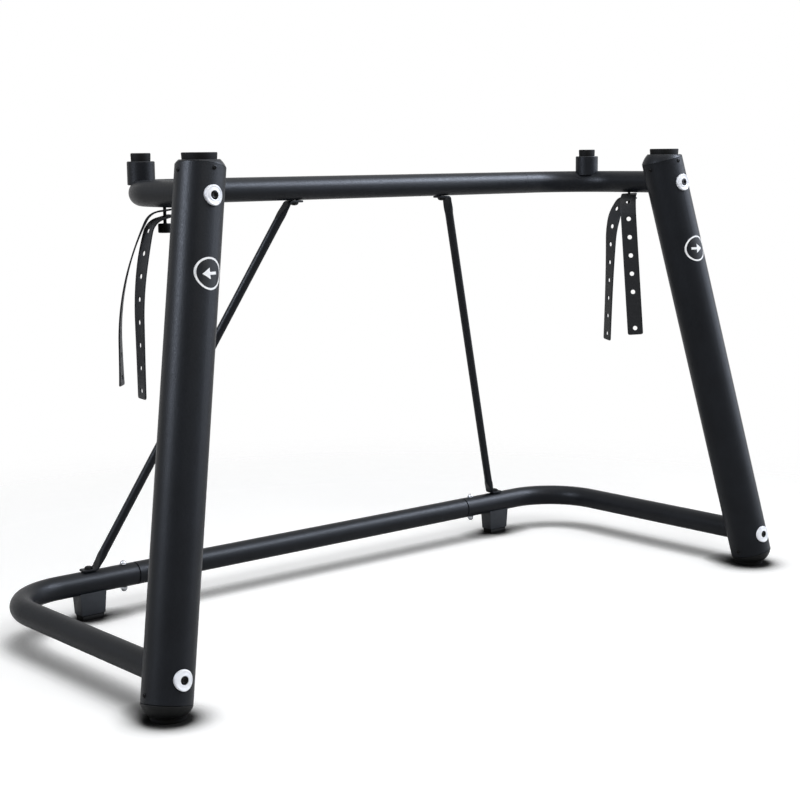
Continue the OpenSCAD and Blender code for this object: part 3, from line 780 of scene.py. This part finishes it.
def hexHead(data):
    # flanged hex head, domed from half its height
    count, flats, flange, half = data["count"], data["flats"], data["flange"], data["height"] / 2
    rings = latheRings([(flange, 0), (flange, data["flangeSide"]),
                        (flange - data["flangeBevel"], data["flangeTop"])], count)
    rings += [hexRing(z, flats, count) for z in (data["hexLow"], half)]
    rings += latheRings(domeProfile(flats / 2, half, half, data["steps"]) + [(data["crown"], data["height"])], count)
    return loftObject("hexHead", rings, "blackOxide", sharp=28)


def capScrewSeats(data):
    # two at the sides of each end, one in front at the top
    seats = []
    for side in sides.values():
        way, across = axisWay(side), axisAcross(side)
        low, high = axisPoint(side, columnData["lowZ"]), axisPoint(side, columnData["highZ"])
        rows = [(low + way * data["sideInset"], out) for out in (across, -across)]
        rows += [(high - way * data["sideInset"], out) for out in (across, -across)]
        rows.append((high - way * data["frontInset"], -way.cross(across)))
        seats += [(middle + out * (columnData["radius"] + data["proud"]), out) for middle, out in rows]
    return seats


def columnBoltSeats(data):
    return [(onColumn(side, z, front, 0, 0, data["boltSeat"]), -yAxis)
            for side in sides.values() for z in data["heights"]]


def seatPair(x, y, z, up):
    return [(Vector((side * x, y, z)), zAxis * up) for side in sides.values()]


tubeData = {
    "radius": 16 * mm, "baseZ": 51 * mm, "topZ": 583 * mm, "baseY": 217.532 * mm, "topY": 66.532 * mm,
    "jointX": 329.622 * mm, "gap": 0.15 * mm,
}
braceData = {
    "topX": 134 * mm, "footX": 384.122 * mm, "tabReach": 10 * mm, "tabEnd": 10.4 * mm, "tabWidth": 16 * mm,
    "tabThick": 3 * mm, "tip": 2 * mm, "tipShare": 0.82, "rod": 12 * mm, "pinch": 29 * mm, "bend": 4 * mm,
    "seat": 0.1 * mm, "steps": 8, "count": 40, "boxy": 6,  # how square the pressed ends are
}
topTabZ = tubeData["topZ"] - tubeData["radius"] - braceData["seat"] - braceData["tabThick"] / 2
footTabZ = tubeData["baseZ"] + tubeData["radius"] + braceData["seat"] + braceData["tabThick"] / 2


def setAllFasteners():
    jointX, topY, baseY, baseZ = (tubeData[key] for key in ("jointX", "topY", "baseY", "baseZ"))
    jointOff = tubeData["radius"] + tubeData["gap"]
    halfTab = braceData["tabThick"] / 2
    topSeats = seatPair(braceData["topX"], topY, topTabZ - halfTab, -1)
    footSeats = seatPair(braceData["footX"], baseY, footTabZ + halfTab, 1)
    setFasteners("capScrews", crossHead(capScrewData), capScrewSeats(capScrewData), "blackOxide",
                 ["cap_screws"], spin=1.5)
    setFasteners("columnBolts", socketHead(socketBoltData), columnBoltSeats(washerData), "blackOxide",
                 ["column_bolts"], spin=1.0)
    setFasteners("baseJointBolts", domeHead(domeBoltData), seatPair(jointX, baseY, baseZ + jointOff, 1),
                 "chrome", ["base_joint_bolts"])
    setFasteners("baseJointNuts", domeNut(domeNutData), seatPair(jointX, baseY, baseZ - jointOff, -1),
                 "chrome", ["base_joint_dome_nuts"], spin=1.0)
    setFasteners("braceTopBolts", hexHead(hexBoltData), topSeats, "blackOxide",
                 ["brace_top_bolts"], spin=1.0)
    setFasteners("braceFootBolts", hexHead(hexBoltData), footSeats, "blackOxide",
                 ["brace_foot_bolts"], spin=1.0)


setAllFasteners()
print("stand: fasteners")


# base rear tube: turned down at both ends, so that a dark seam shows
seamData = {"endX": 312.5 * mm, "groove": 1.7 * mm, "depth": 1.5 * mm, "edge": 0.3 * mm, "count": 64}


def makeBaseRearTube(data):
    radius, end = tubeData["radius"], data["endX"]
    inner = end - data["groove"]
    stops = [(end, radius - data["depth"]), (inner, radius - data["depth"]), (inner, radius - data["edge"]),
             (inner - data["edge"], radius), (0.5 * inner, radius), (0, radius)]
    stops += [(-x, r) for x, r in reversed(stops[:-1])]
    middle = Vector((0, tubeData["baseY"], tubeData["baseZ"]))
    rings = [circlePoints(middle + xAxis * x, yAxis, zAxis, r, data["count"]) for x, r in stops]
    seat(loftObject("baseRearTube", rings, "powderCoat", sharp=40), ["base_rear_tube"])


makeBaseRearTube(seamData)
print("stand: base seams")


# braces: round rods pressed flat and bent at both ends
def braceRoute(side, data):
    # places along the brace with how flat it is there
    top = Vector((side * (data["topX"] + data["tabReach"]), tubeData["topY"], topTabZ))
    foot = Vector((side * (data["footX"] - data["tabReach"]), tubeData["baseY"], footTabZ))
    outward = xAxis * side
    rod, length = (foot - top).normalized(), (foot - top).length
    tab, bend, steps = data["tabReach"] + data["tabEnd"], data["bend"], data["steps"]

    def corner(place, before, after):
        a, b = place - before * bend, place + after * bend
        return [(arcPoint(a, place, b, i / steps), 1) for i in range(steps + 1)]

    shares = [i / steps for i in range(1, steps + 1)]
    pinch = [(bend + (data["pinch"] - bend) * t, 1 - t ** 2 * (3 - 2 * t)) for t in shares]
    route = [(top - outward * tab, 1), (top - outward * (tab - data["tip"]), 1)]
    route += corner(top, outward, rod)
    route += [(top + rod * s, flat) for s, flat in pinch]
    route += [(top + rod * (length - s), flat) for s, flat in reversed(pinch)]
    route += corner(foot, rod, outward)
    return route + [(foot + outward * (tab - data["tip"]), 1), (foot + outward * tab, 1)]


def braceSection(place, way, flat, data, trim):
    # between a round rod and a flat bar with soft edges
    across = (yAxis - way * way.y).normalized()
    up = way.cross(across)
    wide = (data["rod"] + (data["tabWidth"] - data["rod"]) * flat) / 2 * trim
    thick = (data["rod"] + (data["tabThick"] - data["rod"]) * flat) / 2 * trim
    power = 2 / (2 + data["boxy"] * flat)
    ring = []
    for i in range(data["count"]):
        a = 2 * math.pi * i / data["count"]
        c, s = (math.copysign(abs(value) ** power, value) for value in (math.cos(a), math.sin(a)))
        ring.append(place + across * wide * c + up * thick * s)
    return ring


def makeBrace(name, side, data):
    route = braceRoute(side, data)
    last = len(route) - 1
    rings = []
    for i, (place, flat) in enumerate(route):
        before, after = route[max(i - 1, 0)][0], route[min(i + 1, last)][0]
        trim = data["tipShare"] if i in (0, last) else 1
        rings.append(braceSection(place, (after - before).normalized(), flat, data, trim))
    seat(loftObject(name + "Brace", rings, "powderCoat", sharp=50), [name + "_brace"])


for sideName, side in sides.items():
    makeBrace(sideName, side, braceData)
print("stand: braces")


# pegs on the top bends, rear feet under the base
pegData = {"x": 397.849 * mm, "y": 25.55 * mm, "low": 621.5 * mm, "top": 631.5 * mm, "radius": 12.25 * mm,
           "flare": 0.3 * mm, "fillet": 1.4 * mm, "dish": 0.4 * mm, "dishRadius": 8.5 * mm}
rearFootData = {"edge": 1.2 * mm, "steps": 3, "edgeAngle": math.radians(35), "flatAngle": math.radians(1),
                "weld": 0.005 * mm}


def makePegTip(name, side, data):
    profile = [(data["radius"] - data["flare"], data["low"])]
    profile += roundedEdge(data["radius"], data["top"], data["fillet"])
    profile += dished(data["dishRadius"], data["top"], data["dish"])
    rings = moved(latheRings(profile), (side * data["x"], data["y"], 0))
    seat(loftObject(name + "PegTip", rings, "padRubber"), [name + "_peg_tip"])


def addEdges(piece, width, steps, angle):
    bevel = piece.modifiers.new("edges", "BEVEL")
    bevel.width = width
    bevel.segments = steps
    bevel.limit_method = "ANGLE"
    bevel.angle_limit = angle


def softenedSolid(name, node, finish, data):
    # the solid itself with its edges rounded
    bm = bmesh.new()
    bm.from_mesh(frame["nodes"][node].data)
    bmesh.ops.remove_doubles(bm, verts=bm.verts, dist=data["weld"])
    bmesh.ops.dissolve_limit(bm, angle_limit=data["flatAngle"], verts=bm.verts, edges=bm.edges)
    piece = meshObject(name, bm, finish, sharp=40)
    addEdges(piece, data["edge"], data["steps"], data["edgeAngle"])
    bakeModifiers(piece)
    smoothMesh(piece.data, sharp=40)
    seat(piece, [node])


for sideName, side in sides.items():
    makePegTip(sideName, side, pegData)
    softenedSolid(sideName + "RearFoot", sideName + "_rear_foot", "footPlastic", rearFootData)
    softenedSolid(sideName + "RearFootPad", sideName + "_rear_foot_pad", "padRubber", rearFootData)
print("stand: pegs and rear feet")


# strap studs and the perforated rubber straps that hang on them
studData = {"x": 412.369 * mm, "y": -48.468 * mm, "underZ": 567 * mm, "neck": 2 * mm, "neckLength": 19 * mm,
            "root": 0.8 * mm, "inTube": 2 * mm, "knob": 8.5 * mm, "knobHeight": 11 * mm, "fillet": 1.4 * mm,
            "count": 48}


def makeStud(name, side, data):
    neck, root, knobTop = data["neck"], data["root"], data["underZ"] - data["neckLength"]
    upper = roundedEdge(data["knob"], knobTop, data["fillet"])
    profile = [(r, 2 * knobTop - data["knobHeight"] - z) for r, z in reversed(upper)] + upper
    profile += [(neck + root, knobTop), (neck, knobTop + root), (neck, data["underZ"] + data["inTube"])]
    rings = moved(latheRings(profile, data["count"]), (side * data["x"], data["y"], 0))
    seat(loftObject(name + "StrapStud", rings, "padRubber", sharp=35), [name + "_strap_stud"])


# laid flat: rings are shares of the way from a hole's rim to its cell's border
stripData = {"width": 23 * mm, "thick": 2 * mm, "pitch": 27.4 * mm, "holes": 9, "hole": 3.25 * mm, "end": 10 * mm,
             "corner": 3 * mm, "edge": 0.35 * mm, "edgeSteps": 2, "edgeAngle": math.radians(50), "weld": 0.01 * mm,
             "perSide": 10, "rings": (0, 0.3, 0.65, 1)}
# turn about the stud, tilt off it, bend as far as the knee's angle, then a long curve down; drop is below the tube,
# sway to the side; the strap's own twist comes up to the first angle over twistBy and goes over to the second at its
# end, sooner with a higher ease; missing is a place without a hole, counted from 0; angles are in degrees
hangData = {
    "leftFront": {
        "side": -1, "turn": 172.7, "tilt": 14, "bend": 22 * mm, "knee": 74.5, "curve": 400 * mm, "drop": 7 * mm,
        "sway": 0, "twist": (12, -2), "twistBy": 60 * mm, "ease": 1.5, "missing": None,
    },
    "leftBack": {
        "side": -1, "turn": 142, "tilt": 8, "bend": 21 * mm, "knee": 62.8, "curve": 320 * mm, "drop": 0,
        "sway": 0, "twist": (8, -7), "twistBy": 60 * mm, "ease": 0.5, "missing": None,
    },
    "rightFront": {
        "side": 1, "turn": 217.4, "tilt": 8, "bend": 33 * mm, "knee": 84, "curve": 60 * mm, "drop": 0,
        "sway": 4, "twist": (0, 0), "twistBy": 60 * mm, "ease": 1, "missing": 7,
    },
    "rightBack": {
        "side": 1, "turn": 156.6, "tilt": 4, "bend": 11 * mm, "knee": 68, "curve": 150 * mm, "drop": 5.5 * mm,
        "sway": -4, "twist": (44, 1), "twistBy": 34 * mm, "ease": 3, "missing": None,
    },
}
# lead is the straight piece at the stud, gap the room at its neck and under the tube
hangShared = {"lead": 6 * mm, "gap": 0.3 * mm, "stops": 160, "twistFrom": 12 * mm}


def stripBorder(low, high, data):
    # points round one cell of the strip
    half, count = data["width"] / 2, data["perSide"]
    steps = [i / count for i in range(count)]
    points = [(high, -half + 2 * half * t) for t in steps]
    points += [(high + (low - high) * t, half) for t in steps]
    points += [(low, half - 2 * half * t) for t in steps]
    points += [(low + (high - low) * t, -half) for t in steps]
    return points


def softCorner(point, low, high, data, lowFree, highFree):
    # draws a border point in to a round corner where the strip ends
    x, y = point
    corner, half = data["corner"], data["width"] / 2
    for free, bound, inward in ((lowFree, low, 1), (highFree, high, -1)):
        centreX, centreY = bound + inward * corner, half - corner
        outX, outY = (centreX - x) * inward, abs(y) - centreY
        if free and outX > 0 and outY > 0:
            reach = math.hypot(outX, outY)
            return centreX - inward * corner * outX / reach, math.copysign(centreY + corner * outY / reach, y)
    return point


def flatStrip(name, missing, data):
    # one cell for each hole, drawn as rings that grow from the hole to the cell's border
    bm = bmesh.new()
    for i in range(data["holes"]):
        middle = i * data["pitch"]
        lowFree, highFree = i == 0, i == data["holes"] - 1
        low = middle - (data["end"] if lowFree else data["pitch"] / 2)
        high = middle + (data["end"] if highFree else data["pitch"] / 2)
        border = [softCorner(p, low, high, data, lowFree, highFree) for p in stripBorder(low, high, data)]
        rows = []
        for share in data["rings"]:
            row = []
            for x, y in border:
                reach = math.hypot(x - middle, y)
                hole = Vector((middle + data["hole"] * (x - middle) / reach, data["hole"] * y / reach, 0))
                row.append(bm.verts.new(hole.lerp(Vector((x, y, 0)), share)))
            rows.append(row)
        for inner, outer in zip(rows, rows[1:]):
            for k in range(len(inner)):
                n = (k + 1) % len(inner)
                bm.faces.new((inner[k], outer[k], outer[n], inner[n]))
        if i == missing:
            bm.faces.new(rows[0])
    bmesh.ops.remove_doubles(bm, verts=bm.verts, dist=data["weld"])
    uv = bm.loops.layers.uv.new("strapUv")
    for face in bm.faces:
        for corner in face.loops:
            corner[uv].uv = (corner.vert.co.x, corner.vert.co.y)
    strip = meshObject(name, bm, "strapRubber", sharp=40)
    solid = strip.modifiers.new("thickness", "SOLIDIFY")
    solid.thickness = data["thick"]
    solid.offset = 0
    addEdges(strip, data["edge"], data["edgeSteps"], data["edgeAngle"])
    bakeModifiers(strip)
    return strip


def hangPoint(hang, s):
    # reach out from the stud and drop below it, s along the strap from its first hole
    tilt, knee = math.radians(hang["tilt"]), math.radians(hang["knee"])
    bend, curve = hang["bend"], hang["curve"]
    past = max(s - hangShared["lead"], 0)
    first = min(tilt + past / bend, knee)
    last = min(knee + max(past - bend * (knee - tilt), 0) / curve, math.pi / 2)
    tail = max(past - bend * (knee - tilt) - curve * (math.pi / 2 - knee), 0)
    lead = min(s, hangShared["lead"])
    reach = lead * math.cos(tilt) + bend * (math.sin(first) - math.sin(tilt))
    drop = lead * math.sin(tilt) + bend * (math.cos(tilt) - math.cos(first))
    return reach + curve * (math.sin(last) - math.sin(knee)), drop + curve * (math.cos(knee) - math.cos(last)) + tail


def strapTwist(hang, s, length):
    # none at the stud, then from the upper to the lower twist
    upper, lower = hang["twist"]
    start = min(max((s - hangShared["twistFrom"]) / hang["twistBy"], 0), 1)
    share = 1 - (1 - min(max(s / (length - stripData["end"]), 0), 1)) ** hang["ease"]
    return math.radians((upper + (lower - upper) * share) * start * start * (3 - 2 * start))


def strapRoute(hang):
    # middle line of the hanging strap with its twist, from its short end over the stud and down
    tilt, turn, sway = (math.radians(hang[key]) for key in ("tilt", "turn", "sway"))
    end, thick, gap = stripData["end"], stripData["thick"], hangShared["gap"]
    under = end * math.sin(tilt) + thick + gap + hang["drop"]
    pull = stripData["hole"] * math.cos(tilt) - thick / 2 * math.sin(tilt) - studData["neck"] - gap
    out = Vector((math.cos(turn), math.sin(turn), 0))
    level = Vector((-out.y, out.x, 0))
    across = level * math.cos(sway) + zAxis * math.sin(sway)
    down = level * math.sin(sway) - zAxis * math.cos(sway)
    start = Vector((hang["side"] * studData["x"], studData["y"], studData["underZ"] - under)) + out * pull
    length = (stripData["holes"] - 1) * stripData["pitch"] + 2 * end
    stops = []
    for i in range(hangShared["stops"] + 1):
        s = length * i / hangShared["stops"] - end
        reach, drop = hangPoint(hang, s)
        stops.append((start + out * reach + down * drop, strapTwist(hang, s, length)))
    return stops, across


def makeStrapTree():
    # lays a flat strip along a route; the route's tilt twists it
    tree, sockets, given = startTree(
        "stripOnRoute",
        {"Strip": "Geometry", "Route": "Object", "Across": "Vector", "End": "Float", "Finish": "Material"}, "Strap")
    flat = addNode(tree, "GeometryNodeInputPosition")
    parts = addNode(tree, "ShaderNodeSeparateXYZ")
    along = addNode(tree, "ShaderNodeMath", operation="ADD")
    route = addNode(tree, "GeometryNodeObjectInfo")
    sample = addNode(tree, "GeometryNodeSampleCurve", mode="LENGTH")
    tilt = addNode(tree, "GeometryNodeInputCurveTilt")
    turned = addNode(tree, "ShaderNodeVectorRotate", rotation_type="AXIS_ANGLE")
    normal = addNode(tree, "ShaderNodeVectorMath", operation="CROSS_PRODUCT")
    sideways = addNode(tree, "ShaderNodeVectorMath", operation="SCALE")
    upwards = addNode(tree, "ShaderNodeVectorMath", operation="SCALE")
    both = addNode(tree, "ShaderNodeVectorMath", operation="ADD")
    place = addNode(tree, "ShaderNodeVectorMath", operation="ADD")
    bend = addNode(tree, "GeometryNodeSetPosition")
    join(tree,
         (flat, "Position", parts, 0),
         (parts, "X", along, 0),
         (given, "End", along, 1),
         (given, "Route", route, "Object"),
         (route, "Geometry", sample, "Curves"),
         (along, 0, sample, "Length"),
         (tilt, "Tilt", sample, "Value"),
         (given, "Across", turned, "Vector"),
         (sample, "Tangent", turned, "Axis"),
         (sample, "Value", turned, "Angle"),
         (sample, "Tangent", normal, 0),
         (turned, "Vector", normal, 1),
         (turned, "Vector", sideways, 0),
         (parts, "Y", sideways, "Scale"),
         (normal, 0, upwards, 0),
         (parts, "Z", upwards, "Scale"),
         (sideways, 0, both, 0),
         (upwards, 0, both, 1),
         (sample, "Position", place, 0),
         (both, 0, place, 1),
         (given, "Strip", bend, "Geometry"),
         (place, 0, bend, "Position"))
    endTree(tree, bend.outputs["Geometry"], given.outputs["Finish"])
    return tree, sockets


strapTree, strapSockets = makeStrapTree()


def makeStrap(name, hang):
    stops, across = strapRoute(hang)
    curve = bpy.data.curves.new(name + "Route", "CURVE")
    curve.dimensions = "3D"
    spline = curve.splines.new("POLY")
    spline.points.add(len(stops) - 1)
    for stop, (place, twist) in zip(spline.points, stops):
        stop.co = (*place, 1)
        stop.tilt = -twist
    route = bpy.data.objects.new(name + "Route", curve)
    scene.collection.objects.link(route)
    strap = flatStrip(name + "Strap", hang["missing"], stripData)
    addTreeModifier(strap, strapTree, strapSockets, {
        "Route": route, "Across": across, "End": stripData["end"], "Finish": finishes["strapRubber"]})
    bakeModifiers(strap)
    smoothMesh(strap.data, sharp=40)
    bpy.data.objects.remove(route)
    node = "".join("_" + c.lower() if c.isupper() else c for c in name) + "_strap"
    seat(strap, [node], body=node)


for sideName, side in sides.items():
    makeStud(sideName, side, studData)
for hangName, hang in hangData.items():
    makeStrap(hangName, hang)
print("stand: studs and straps")


# the solids that show as they are
solidFinishes = {"powder_coat": "powderCoat", "black_plastic": "capPlastic", "pad_rubber": "padRubber",
                 "strap_rubber": "padRubber", "white_washer": "nylonWhite", "chrome_hardware": "chrome",
                 "black_steel": "blackOxide", "plain_steel": "plainSteel"}
for part in frame["record"]["subparts"]:
    solid = frame["nodes"][part["node"]]
    solid.data.materials.clear()
    solid.data.materials.append(finishes[solidFinishes[part["material_slot"]]])
print("stand: solids finished")
